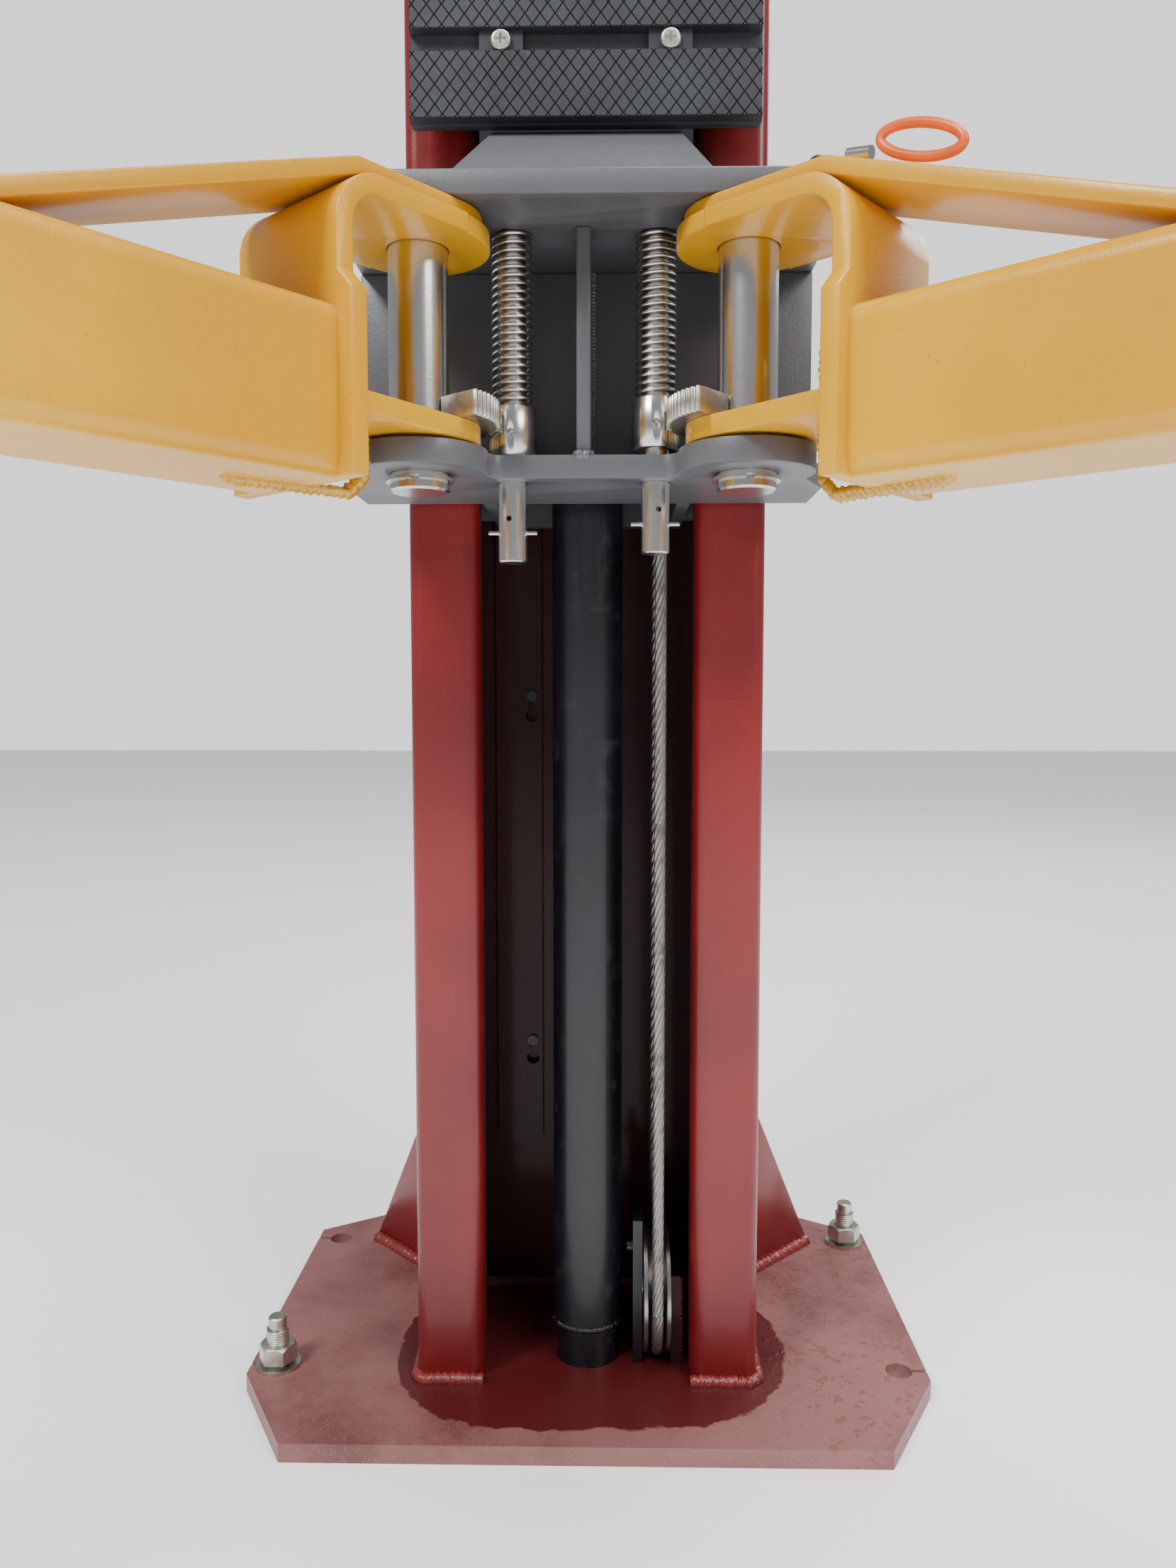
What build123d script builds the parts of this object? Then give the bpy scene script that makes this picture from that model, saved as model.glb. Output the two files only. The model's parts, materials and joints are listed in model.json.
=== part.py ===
"""One post of a two-post vehicle lift: column, carriage, swing arms, arm locks, cylinder and ropes.

Millimetres, +Z up. The origin is on the floor, under the middle of the column's open front face.
+X is to the right and +Y into the column, as seen by someone standing in the bay.
"""

import os
from math import atan2, cos, degrees, pi, radians, sin, tan

from build123d import *

# Column and base
column_width = 280.0
column_depth = 180.0
column_wall = 6.0
column_height = 2800.0
column_bend = 10.0
lip_width = 55.0
lip_return = 28.0
lip_bend = 14.0
base_thick = 15.0
base_half_width = 284.0
base_front = 85.0
base_back = 330.0
base_front_half = 232.0
base_back_half = 190.0
base_side_front = -6.0
base_side_back = 271.0
anchor_x = 261.0
anchor_front_y = 20.0
anchor_back_y = 252.0
anchor_hole = 22.0
kerf = 3.0
gusset_reach = 110.0
gusset_height = 202.0
gusset_thick = 10.0
top_plate_thick = 12.0
top_plate_overhang = 30.0
top_hole = 18.0
top_hole_inset = 16.0

# Floor anchors
stud_dia = 18.0
stud_height = 58.0
stud_tip = 11.0
stud_tip_dia = 15.0
nut_flats = 28.0
nut_height = 17.0
washer_dia = 37.0
washer_thick = 3.0

# Carriage
plate_bottom_z = 727.0
plate_thick = 16.0
plate_gap = 153.0
plate_front = 160.0
plate_front_half = 141.0
carriage_half = 170.0
recess_front = 112.0
back_plate_thick = 14.0
back_plate_gap = 6.0
rib_thick = 10.0
rib_setback = 4.0
pin_x = 110.0
pin_y = -125.0
pin_dia = 40.0
pin_head_dia = 46.0
pin_head_thick = 5.0
pin_tail = 12.0
pin_clearance = 0.05
circlip_thick = 2.5
circlip_width = 5.0
lobe_radius = 46.0
head_gusset_rise = 87.5
head_gusset_foot = 86.5
head_gusset_top = 71.0
head_gusset_thick = 8.0
frame_half = 80.0
frame_wall = 10.0
frame_depth = 134.0
frame_height = 800.0
slider_height = 130.0
slider_gap = 0.5
rubber_width = 260.0
rubber_height = 500.0
rubber_thick = 20.0
rubber_base = 10.0
rubber_band = 47.3
rubber_groove = 15.6
rubber_screw_x = 62.0
rubber_screw_head = 15.4

# Arms
right_heading = -41.0
left_heading = -50.0
ear_thick = 12.0
brace_thick = 10.0
lower_ear_thick = 14.0
ear_radius = 48.0
brace_radius = 43.0
lower_ear_radius = 41.0
web_reach = 92.0
yoke_bend = 34.0
yoke_half = 50.0
web_half = 62.0
web_drop = 706.0
ear_clearance = 0.4
tube_size = 100.0
tube_wall = 6.0
tube_corner = 12.0
tube_length = 500.0
brace_run = 200.0
brace_half_end = 34.0
inner_clearance = 0.4
inner_tail = 130.0
inner_length = 560.0
boss_dia = 62.0
boss_height = 70.0
boss_setback = 30.0
pad_screw_dia = 40.0
pad_screw_length = 96.0
pad_dia = 124.0
pad_plate_thick = 10.0
pad_rubber_thick = 20.0

# Arm locks
lock_x = 50.0
lock_y = -92.0
lock_dia = 20.0
lock_below = 55.0
lock_above = -10.0
lock_lift = 32.5
lock_block_dia = 34.0
lock_block_height = 34.0
lock_raise_right = 6.0
gear_radius = 54.0
gear_tooth = 2.6
gear_thick = 16.0
gear_pitch = 5.0
gear_clearance = 0.4
spring_dia = 29.0
spring_wire = 2.6
spring_turns = 18
cotter_dia = 3.2
cotter_half = 17.0

# Cylinder and chain
cylinder_dia = 58.0
cylinder_y = 45.0
cylinder_height = 1060.0
barrel_wall = 6.0
gland_dia = 66.0
gland_height = 30.0
rod_dia = 36.0
rod_out = 330.0
rod_inside = 515.0
piston_height = 40.0
roller_dia = 84.0
roller_width = 26.0
roller_axle_dia = 25.0
chain_width = 20.0
chain_thick = 12.0
chain_lug_rise = 140.0

# Equalising rope and its base sheave
rope_dia = 10.0
sheave_x = 58.5
sheave_y = 54.0
sheave_z = 70.0
sheave_dia = 104.0
sheave_width = 22.0
sheave_groove = 7.5
sheave_bore = 20.0
bracket_thick = 8.0
bracket_gap = 1.0
bracket_left_top = 136.0
bracket_right_top = 88.0
keeper_z = 112.0
stud_end_dia = 16.0
stud_end_length = 90.0

# Hose guard inside the column
guard_left = -87.0
guard_width = 42.0
guard_thick = 2.0
guard_standoff = 8.0
guard_bottom = 156.0
guard_height = 2400.0
guard_first_slot = 89.0
guard_slot_step = 325.0
guard_slots = 7
guard_slot_inset = 9.0

# Lock release cord, on the right lock
cord_dia = 3.0
loop_dia = 6.0
loop_length = 60.0
loop_height = 24.0
ferrule_dia = 8.0
ferrule_length = 16.0

touch = 0.3

# Worked out from the sizes above
floor_z = base_thick
plate_top_z = plate_bottom_z + plate_thick
head_under_z = plate_top_z + plate_gap
head_top_z = head_under_z + plate_thick
back_plate_y = -back_plate_gap - back_plate_thick
frame_bottom_z = plate_bottom_z
slot_half = column_width / 2 - lip_width
ear_under_z = head_under_z - ear_clearance - brace_thick - ear_thick
brace_z = ear_under_z + ear_thick
lower_ear_z = plate_top_z + ear_clearance + 2.0
gear_z = lower_ear_z + lower_ear_thick
web_outer = web_reach + ear_thick
tube_bottom_z = web_drop
tube_top_z = tube_bottom_z + tube_size
brace_top_z = brace_z + brace_thick
inner_size = tube_size - 2 * tube_wall - 2 * inner_clearance
tube_mid_z = tube_bottom_z + tube_size / 2
brace_knee = web_reach - 12
rubber_bottom_z = head_top_z + head_gusset_rise + touch
boss_x = inner_tail + inner_length + boss_dia / 2 - 4.0
guard_y = column_depth - column_wall - guard_standoff - guard_thick


def block(x0, x1, y0, y1, z0, z1):
    """A box between two corners."""
    return Pos((x0 + x1) / 2, (y0 + y1) / 2, (z0 + z1) / 2) * Box(x1 - x0, y1 - y0, z1 - z0)


def rod(dia, x, y, z0, z1):
    """An upright cylinder."""
    return Pos(x, y, z0) * Cylinder(dia / 2, z1 - z0, align=(Align.CENTER, Align.CENTER, Align.MIN))


def rod_x(dia, x0, x1, y, z):
    """A cylinder lying along X."""
    lying = Cylinder(dia / 2, x1 - x0, align=(Align.CENTER, Align.CENTER, Align.MIN))
    return Pos(x0, y, z) * Rot(0, 90, 0) * lying


def rod_y(dia, x, y0, y1, z):
    """A cylinder lying along Y."""
    lying = Cylinder(dia / 2, y1 - y0, align=(Align.CENTER, Align.CENTER, Align.MIN))
    return Pos(x, y0, z) * Rot(-90, 0, 0) * lying


def slab(points, z0, thick):
    """A plate with an outline given in plan."""
    return Pos(0, 0, z0) * extrude(make_face(Polyline(*points, close=True)), thick)


def side_plate(points, x0, thick):
    """A plate standing across X, with its outline given as (y, z)."""
    face = make_face(Polyline(*[(x0, y, z) for y, z in points], close=True))
    return extrude(face, thick, dir=(1, 0, 0))


def arm_plate(points, y0, thick):
    """A plate standing along the arm, with its outline given as (x, z)."""
    face = make_face(Polyline(*[(x, y0, z) for x, z in points], close=True))
    return extrude(face, thick, dir=(0, 1, 0))


def mirrored(shape):
    """The same shape on the other side of the column."""
    return mirror(shape, about=Plane.YZ)


def on_arms(shape):
    """A shape drawn along +X from the arm pin, placed on the right arm and, mirrored, on the left."""
    right = Pos(pin_x, pin_y, 0) * Rot(0, 0, right_heading) * shape
    left = mirrored(Pos(pin_x, pin_y, 0) * Rot(0, 0, left_heading) * shape)
    return right, left


def joined(shapes):
    """Separate solids kept apart in one node."""
    solids = []
    for shape in shapes:
        solids += shape.solids()
    return Compound(children=solids)


# Column body


def column():
    half, depth, wall = column_width / 2, column_depth, column_wall
    outer = Pos(0, depth / 2) * RectangleRounded(column_width, depth, column_bend)
    hollow = Pos(0, depth / 2) * RectangleRounded(
        column_width - 2 * wall, depth - 2 * wall, column_bend - wall
    )
    mouth = Pos(0, 0) * Rectangle(2 * slot_half, 4 * wall)
    profile = outer - hollow - mouth
    for side in (-1, 1):
        middle = side * (slot_half + wall / 2)
        fold = Pos(middle, lip_return / 2) * Rectangle(wall, lip_return)
        profile += fold
    bends = profile.vertices().filter_by(lambda v: abs(v.Y) < 0.1 and abs(abs(v.X) - slot_half) < 0.1)
    profile = fillet(bends, lip_bend)
    inner = profile.vertices().filter_by(
        lambda v: abs(v.Y - wall) < 0.1 and abs(abs(v.X) - slot_half - wall) < 0.1
    )
    profile = fillet(inner, lip_bend - wall)
    return Pos(0, 0, floor_z) * extrude(profile, column_height - floor_z - top_plate_thick)


def base_plate():
    outline = []
    for side in (-1, 1):
        corner = [
            (base_front_half, -base_front),
            (base_half_width, -base_side_front),
            (base_half_width, base_side_back),
            (base_back_half, base_back),
        ]
        corner = [(side * x, y) for x, y in corner]
        outline += corner if side == 1 else corner[::-1]
    plate = slab(outline, 0, base_thick)
    for x in (-anchor_x, anchor_x):
        for y in (anchor_front_y, anchor_back_y):
            plate -= rod(anchor_hole, x, y, -1, base_thick + 1)
            edge = base_half_width + 1 if x > 0 else -base_half_width - 1
            plate -= block(min(x, edge), max(x, edge), y - kerf / 2, y + kerf / 2, -1, base_thick + 1)
    return plate


def base_gussets():
    """Two upright triangles running out diagonally from the column's back corners."""
    start = column_bend * (1 - cos(pi / 4)) * 2**0.5 / 2 + touch
    triangle = [
        (start, floor_z),
        (gusset_reach, floor_z),
        (gusset_reach, floor_z + 8.0),
        (start, floor_z + gusset_height),
    ]
    plate = arm_plate(triangle, -gusset_thick / 2, gusset_thick)
    right = Pos(column_width / 2, column_depth, 0) * Rot(0, 0, 45) * plate
    return joined([right, mirrored(right)])


def column_top_plate():
    half = column_width / 2 + top_plate_overhang
    z0 = column_height - top_plate_thick
    back = column_depth + top_plate_overhang
    plate = block(-half, half, -top_plate_overhang, back, z0, column_height)
    plate = fillet(plate.edges().filter_by(Axis.Z), 12)
    for x in (-half + top_hole_inset, half - top_hole_inset):
        for y in (-top_plate_overhang + top_hole_inset, back - top_hole_inset):
            plate -= rod(top_hole, x, y, z0 - 1, column_height + 1)
    plate -= rod(stud_end_dia + 1, sheave_x, rope_back_y(), z0 - 1, column_height + 1)
    return plate


def hexagon(flats, x, y, z0, z1):
    sides = Pos(x, y, z0) * extrude(RegularPolygon(flats / 2, 6, major_radius=False), z1 - z0)
    cap = Pos(x, y, z1) * Cone(flats, flats / 2 * 0.98, flats / 2, align=(Align.CENTER, Align.CENTER, Align.MAX))
    return sides & cap


def anchor_bolts():
    """Stud, nut and washer of the two anchors that are fitted: front left and back right."""
    pieces = []
    washer_top = base_thick + washer_thick
    for x, y in ((-anchor_x, anchor_front_y), (anchor_x, anchor_back_y)):
        washer = rod(washer_dia, x, y, base_thick, washer_top) - rod(stud_dia + 1, x, y, 0, washer_top + 1)
        nut = hexagon(nut_flats, x, y, washer_top, washer_top + nut_height)
        nut -= rod(stud_dia + 0.2, x, y, 0, washer_top + nut_height + 1)
        stud = rod(stud_dia, x, y, 0, stud_height - stud_tip)
        tip = rod(stud_tip_dia, x, y, stud_height - stud_tip, stud_height)
        stud += chamfer(tip.faces().sort_by(Axis.Z)[-1].edges(), 1)
        pieces += [washer, nut, stud]
    return joined(pieces)


def cylinder_barrel():
    """The cylinder's barrel, closed at its foot, and the gland that screws into its mouth."""
    top = floor_z + cylinder_height
    barrel = rod(cylinder_dia, 0, cylinder_y, floor_z + 34, top)
    foot = rod(cylinder_dia - 5, 0, cylinder_y, floor_z, floor_z + 34)
    bore = rod(cylinder_dia - 2 * barrel_wall, 0, cylinder_y, floor_z + 20, top + 1)
    barrel = barrel + foot - bore
    gland = rod(gland_dia, 0, cylinder_y, top, top + gland_height)
    gland = chamfer(gland.faces().sort_by(Axis.Z)[-1].edges(), 3)
    gland -= rod(rod_dia + 2 * touch, 0, cylinder_y, top - 1, top + gland_height + 1)
    return joined([barrel, gland])


def rope_front_y():
    """The rope's front run leaves the groove's front edge."""
    return sheave_y - rope_ring()


def rope_back_y():
    return sheave_y + rope_ring()


def rope_ring():
    """Radius of the rope's centreline round the sheave."""
    return sheave_dia / 2 - sheave_groove + rope_dia / 2


def sheave_bracket():
    """Two upright plates welded to the base, one each side of the sheave."""
    inner = sheave_width / 2 + bracket_gap
    plates = []
    for side, height in ((-1, bracket_left_top), (1, bracket_right_top)):
        x0 = sheave_x + side * inner - (bracket_thick if side < 0 else 0)
        outline = [
            (sheave_y - 26, floor_z),
            (sheave_y + 26, floor_z),
            (sheave_y + 20, height),
            (sheave_y - 20, height),
        ]
        if side < 0:
            x_bolt = (x0 - 5, x0)
        plate = side_plate(outline, x0, bracket_thick)
        plate -= rod_x(sheave_bore + 0.1, x0 - 1, x0 + bracket_thick + 1, sheave_y, sheave_z)
        plates.append(plate)
    keeper = rod_x(10, x_bolt[0], x_bolt[1], sheave_y - 14, keeper_z)
    return joined(plates + [keeper])


def sheave_axle():
    reach = sheave_width / 2 + bracket_gap + bracket_thick
    return rod_x(sheave_bore, sheave_x - reach, sheave_x + reach, sheave_y, sheave_z)


def sheave():
    """A grooved wheel, turned from a half section."""
    half, radius = sheave_width / 2, sheave_dia / 2
    bore = sheave_bore / 2 + 0.05
    seat = radius - sheave_groove
    section = Polyline(
        (bore, -half), (radius, -half), (radius, -half + 3), (seat, -rope_dia / 2 + 0.8),
        (seat, rope_dia / 2 - 0.8), (radius, half - 3), (radius, half), (bore, half),
        close=True,
    )
    wheel = revolve(make_face(section), Axis.Y)
    return Pos(sheave_x, sheave_y, sheave_z) * Rot(0, 0, 90) * wheel


def rope_rear():
    """The rope under the sheave and up its back run, with the threaded end that hangs it from the top plate."""
    ring = rope_ring()
    plane = Plane(origin=(sheave_x, sheave_y, sheave_z), x_dir=(0, 1, 0), z_dir=(1, 0, 0))
    under = CenterArc((0, 0), ring, 180, 180)
    circle = Plane(origin=(sheave_x, rope_front_y(), sheave_z), z_dir=(0, 0, 1)) * Circle(rope_dia / 2)
    wrap = sweep(circle, path=plane * under)
    top = column_height - stud_end_length
    run = rod(rope_dia, sheave_x, rope_back_y(), sheave_z, top)
    stud = rod(stud_end_dia, sheave_x, rope_back_y(), top, column_height + 30)
    nut = hexagon(24, sheave_x, rope_back_y(), column_height, column_height + 13)
    nut -= rod(stud_end_dia + 0.2, sheave_x, rope_back_y(), column_height - 1, column_height + 14)
    return joined([wrap + run, stud, nut])


def hose_guard():
    """A strip with keyhole slots, hung on studs on the column's back wall."""
    x1 = guard_left + guard_width
    strip = block(guard_left, x1, guard_y, guard_y + guard_thick, guard_bottom, guard_bottom + guard_height)
    x = x1 - guard_slot_inset
    for step in range(guard_slots):
        z = guard_bottom + guard_first_slot + step * guard_slot_step
        strip -= rod_y(12, x, guard_y - 1, guard_y + guard_thick + 1, z - 9)
        strip -= block(x - 3, x + 3, guard_y - 1, guard_y + guard_thick + 1, z - 9, z + 9)
        strip -= rod_y(6, x, guard_y - 1, guard_y + guard_thick + 1, z + 9)
    return strip


def hose_guard_studs():
    x = guard_left + guard_width - guard_slot_inset
    studs = []
    for step in range(guard_slots):
        z = guard_bottom + guard_first_slot + step * guard_slot_step + 8.5
        shank = rod_y(5, x, guard_y - 0.2, column_depth - column_wall, z)
        head = rod_y(9.5, x, guard_y - 3, guard_y - 0.2, z)
        studs.append(shank + head)
    return joined(studs)


# Carriage body


def back_plate():
    return block(-carriage_half, carriage_half, back_plate_y, -back_plate_gap, plate_top_z, head_under_z)


def head_plate():
    """The carriage's upper plate, over the arms."""
    outline = [
        (-plate_front_half, -plate_front), (plate_front_half, -plate_front),
        (carriage_half, -plate_front + 90), (carriage_half, -back_plate_gap),
        (-carriage_half, -back_plate_gap), (-carriage_half, -plate_front + 90),
    ]
    plate = slab(outline, head_under_z, plate_thick)
    for side in (-1, 1):
        plate -= rod(pin_dia + 2 * pin_clearance, side * pin_x, pin_y, head_under_z - 1, head_top_z + 1)
        plate -= rod(lock_dia + 2 * touch, side * lock_x, lock_y, head_under_z - 1, head_top_z + 1)
    return plate


def foot_plate():
    """The carriage's lower plate, with a lobe round each arm pin and a straight edge between them."""
    outline = [
        (-carriage_half, -back_plate_gap), (-carriage_half, -70), (-pin_x - 40, -recess_front),
        (pin_x + 40, -recess_front), (carriage_half, -70), (carriage_half, -back_plate_gap),
    ]
    plan = make_face(Polyline(*outline, close=True))
    for side in (-1, 1):
        plan += Pos(side * pin_x, pin_y) * Circle(lobe_radius)
    corners = plan.vertices().filter_by(lambda v: abs(v.Y + recess_front) < 0.5 and abs(v.X) < pin_x)
    plan = fillet(corners, 10)
    plate = Pos(0, 0, plate_bottom_z) * extrude(plan, plate_thick)
    for side in (-1, 1):
        plate -= rod(pin_dia + 2 * pin_clearance, side * pin_x, pin_y, plate_bottom_z - 1, plate_top_z + 1)
        plate -= rod(lock_dia + 2 * touch, side * lock_x, lock_y, plate_bottom_z - 1, plate_top_z + 1)
    return plate


def centre_rib():
    front = -recess_front + rib_setback
    return block(-rib_thick / 2, rib_thick / 2, front, back_plate_y, plate_top_z, head_under_z)


def head_gusset():
    """The sloping plate from the head plate's front edge up to the carriage frame."""
    top_z = head_top_z + head_gusset_rise
    y_front, y_back = -plate_front + 7, -18.0
    slope = atan2(head_gusset_rise, y_back - y_front)
    lift = head_gusset_thick / cos(slope)
    section = [(y_front, head_top_z), (y_front + lift / tan(slope), head_top_z), (y_back, top_z - lift), (y_back, top_z)]
    sloped = side_plate(section, -head_gusset_foot, 2 * head_gusset_foot)
    foot, top = head_gusset_foot, head_gusset_top
    mask = make_face(Polyline(
        (-foot, y_front, head_top_z), (foot, y_front, head_top_z),
        (top, y_front, top_z), (-top, y_front, top_z), close=True,
    ))
    return sloped & extrude(mask, 2 * plate_front, dir=(0, 1, 0))


def carriage_frame():
    """Two cheeks that pass between the column's lips, the face above the arms, and the arms that hold the sliders."""
    z0, z1 = frame_bottom_z, frame_bottom_z + frame_height
    deep = -back_plate_gap + frame_depth
    shapes = []
    for side in (-1, 1):
        x0, x1 = sorted((side * (frame_half - frame_wall), side * frame_half))
        shapes.append(block(x0, x1, -back_plate_gap, deep, z0, z1))
    frame = shapes[0] + shapes[1]
    frame += block(-frame_half, frame_half, -18, -back_plate_gap, head_top_z, z1)
    tie = 12.0
    for z in (z0, z1 - slider_height):
        frame += block(-frame_half, frame_half, deep - tie, deep, z, z + slider_height)
        for side in (-1, 1):
            inner, outer = side * frame_half, side * (column_width / 2 - column_wall - 8)
            x0, x1 = sorted((inner, outer))
            frame += block(x0, x1, 70, 82, z, z + slider_height)
    return frame


def slider_blocks():
    """Plastic blocks between the carriage and the column's lips, top and bottom."""
    lip_inside = column_wall + slider_gap
    x_in = slot_half + column_wall + slider_gap
    x_out = column_width / 2 - column_wall - slider_gap
    blocks = []
    for z in (frame_bottom_z, frame_bottom_z + frame_height - slider_height):
        for side in (-1, 1):
            x0, x1 = sorted((side * x_in, side * x_out))
            piece = block(x0, x1, lip_inside, 70, z, z + slider_height)
            blocks.append(chamfer(piece.edges().filter_by(Axis.Z), 6))
    return joined(blocks)


def door_rubber():
    """The ribbed rubber guard on the carriage's face: raised bands with a groove between them."""
    z0 = rubber_bottom_z
    face = -18.0 - touch
    half = rubber_width / 2
    guard = block(-half, half, face - rubber_base, face, z0, z0 + rubber_height)
    z = z0 + 1
    while z + rubber_band < z0 + rubber_height:
        guard += block(-half + 1, half - 1, face - rubber_thick, face - rubber_base, z, z + rubber_band)
        z += rubber_band + rubber_groove
    for x, z in rubber_screw_places():
        guard += block(x - 16, x + 16, face - rubber_base - 6, face - rubber_base, z - 7, z + 7)
        guard -= rod_y(9, x, face - rubber_thick, face + 1, z)
    return guard


def rubber_screw_places():
    first = rubber_bottom_z + 1 + rubber_band + rubber_groove / 2
    last = first + 6 * (rubber_band + rubber_groove)
    return [(x, z) for z in (first, last) for x in (-rubber_screw_x, rubber_screw_x)]


def rubber_screws():
    face = -18.0 - touch
    screws = []
    seat = face - rubber_base - 6
    for x, z in rubber_screw_places():
        head = rod_y(rubber_screw_head, x, seat - 4, seat, z)
        head = fillet(head.faces().sort_by(Axis.Y)[0].edges(), 2.5)
        slot = block(x - 4, x + 4, seat - 5, seat - 2, z - 0.9, z + 0.9)
        cross = block(x - 0.9, x + 0.9, seat - 5, seat - 2, z - 4, z + 4)
        screws.append(head + rod_y(8, x, seat, face + 0.2, z) - slot - cross)
    return joined(screws)


def rope_anchor():
    """The threaded end of the rope's front run, nutted through a lug on the carriage frame."""
    y, x = rope_front_y(), sheave_x
    z = frame_bottom_z + 60
    lug = block(x - 14, frame_half - frame_wall, y - 6, y + 20, z, z + 12)
    lug -= rod(stud_end_dia - 3, x - 1, y, z - 1, z + 13)
    stud = rod(stud_end_dia - 4, x - 1, y, z - 30, z + 34)
    nut = hexagon(18, x - 1, y, z + 12, z + 22) - rod(stud_end_dia - 3.8, x - 1, y, z, z + 30)
    return joined([lug, stud, nut])


def rope_front():
    return rod(rope_dia, sheave_x, rope_front_y(), sheave_z, frame_bottom_z + 30)


def arm_pins():
    tail = plate_bottom_z - pin_tail
    right = rod(pin_dia, pin_x, pin_y, tail, head_top_z)
    right = chamfer(right.faces().sort_by(Axis.Z)[0].edges(), 1.5)
    head = rod(pin_head_dia, pin_x, pin_y, head_top_z, head_top_z + pin_head_thick)
    right += fillet(head.faces().sort_by(Axis.Z)[-1].edges(), 2)
    groove = rod(pin_dia + 2, pin_x, pin_y, plate_bottom_z - 3 - circlip_thick, plate_bottom_z - 3)
    groove -= rod(pin_dia - 4, pin_x, pin_y, tail, plate_bottom_z)
    right -= groove
    return joined([right, mirrored(right)])


def pin_circlips():
    z = plate_bottom_z - 3 - circlip_thick + 0.1
    ring = rod(pin_dia - 4 + 2 * circlip_width, pin_x, pin_y, z, z + circlip_thick - 0.2)
    ring -= rod(pin_dia - 3.9, pin_x, pin_y, z - 1, z + circlip_thick + 1)
    ring -= block(pin_x - 3, pin_x + 3, pin_y - 30, pin_y, z - 1, z + circlip_thick)
    return joined([ring, mirrored(ring)])


# Arms, drawn for the right side


def yoke():
    """The bent plate over the pin: ear, bend and web, wider where the tube is welded to it."""
    x1 = web_reach
    x2 = web_outer
    top = brace_z
    bend_in = yoke_bend - ear_thick
    side = make_face(Polyline(
        (-ear_radius - 2, 0, ear_under_z), (x1, 0, ear_under_z), (x1, 0, web_drop),
        (x2, 0, web_drop), (x2, 0, top), (-ear_radius - 2, 0, top), close=True,
    ))
    plate = Pos(0, -web_half, 0) * extrude(side, 2 * web_half, dir=(0, 1, 0))
    cross = plate.edges().filter_by(Axis.Y)
    outer = cross.filter_by_position(Axis.X, x2 - 0.1, x2 + 0.1).filter_by_position(Axis.Z, top - 0.1, top + 0.1)
    inner = cross.filter_by_position(Axis.X, x1 - 0.1, x1 + 0.1)
    inner = inner.filter_by_position(Axis.Z, ear_under_z - 0.1, ear_under_z + 0.1)
    plate = fillet(outer, yoke_bend)
    inner = plate.edges().filter_by(Axis.Y).filter_by_position(Axis.X, x1 - 0.1, x1 + 0.1)
    inner = inner.filter_by_position(Axis.Z, ear_under_z - 0.1, ear_under_z + 0.1)
    plate = fillet(inner, bend_in)
    ear_plan = Circle(ear_radius) + Pos(x2 / 2, 0) * Rectangle(x2, 2 * yoke_half)
    ear_plan += Pos(x2 - 6, 0) * Rectangle(12, 2 * web_half)
    plate &= Pos(0, 0, web_drop - 1) * extrude(ear_plan, 400)
    step = tube_top_z + 6
    front = make_face(Polyline(
        (0, -web_half, web_drop - 1), (0, web_half, web_drop - 1), (0, web_half, step),
        (0, yoke_half, step + 12), (0, yoke_half, top + 1), (0, -yoke_half, top + 1),
        (0, -yoke_half, step + 12), (0, -web_half, step), close=True,
    ))
    plate &= Pos(-ear_radius - 5, 0, 0) * extrude(front, 300, dir=(1, 0, 0))
    plate -= rod(pin_dia + 1.0, 0, 0, ear_under_z - 1, top + 1)
    return on_arms(plate)


def lower_ear():
    plan = Circle(lower_ear_radius) + make_face(Polyline(
        (0, -lower_ear_radius), (web_reach, -yoke_half), (web_reach, yoke_half), (0, lower_ear_radius),
        close=True,
    ))
    plate = Pos(0, 0, lower_ear_z) * extrude(plan, lower_ear_thick)
    plate -= rod(pin_dia + 1.0, 0, 0, 0, gear_z + 1)
    return on_arms(plate)


def brace_slope():
    return atan2(brace_z - tube_top_z, web_outer + brace_run - brace_knee)


def brace():
    """The plate over the ear that runs down to the arm tube's top."""
    knee, end = brace_knee, web_outer + brace_run
    slope = brace_slope()
    rise = brace_thick / cos(slope)
    section = [
        (-ear_radius, brace_z), (knee, brace_z), (end - 8, tube_top_z), (end + 20, tube_top_z),
        (end + 20, tube_top_z + 4), (end - 8 + rise / tan(slope) * 0.2, tube_top_z + rise * 0.8),
        (knee + 2, brace_z + brace_thick), (-ear_radius, brace_z + brace_thick),
    ]
    plate = arm_plate(section, -yoke_half, 2 * yoke_half)
    plan = Circle(brace_radius) + make_face(Polyline(
        (0, -brace_radius), (knee, -brace_radius), (end + 20, -brace_half_end),
        (end + 20, brace_half_end), (knee, brace_radius), (0, brace_radius), close=True,
    ))
    plate &= Pos(0, 0, tube_top_z - 1) * extrude(plan, 400)
    plate -= rod(pin_dia + 1.0, 0, 0, brace_z - 1, head_top_z)
    return on_arms(plate)


def square_tube(size, wall, corner, x0, x1, z_mid):
    outer = RectangleRounded(size, size, corner)
    inner = RectangleRounded(size - 2 * wall, size - 2 * wall, max(corner - wall, 1.0))
    face = Plane(origin=(x0, 0, z_mid), x_dir=(0, 1, 0), z_dir=(1, 0, 0)) * (outer - inner)
    return extrude(face, x1 - x0)


def arm_tube():
    return on_arms(square_tube(tube_size, tube_wall, tube_corner, web_outer, web_outer + tube_length, tube_mid_z))


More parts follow.
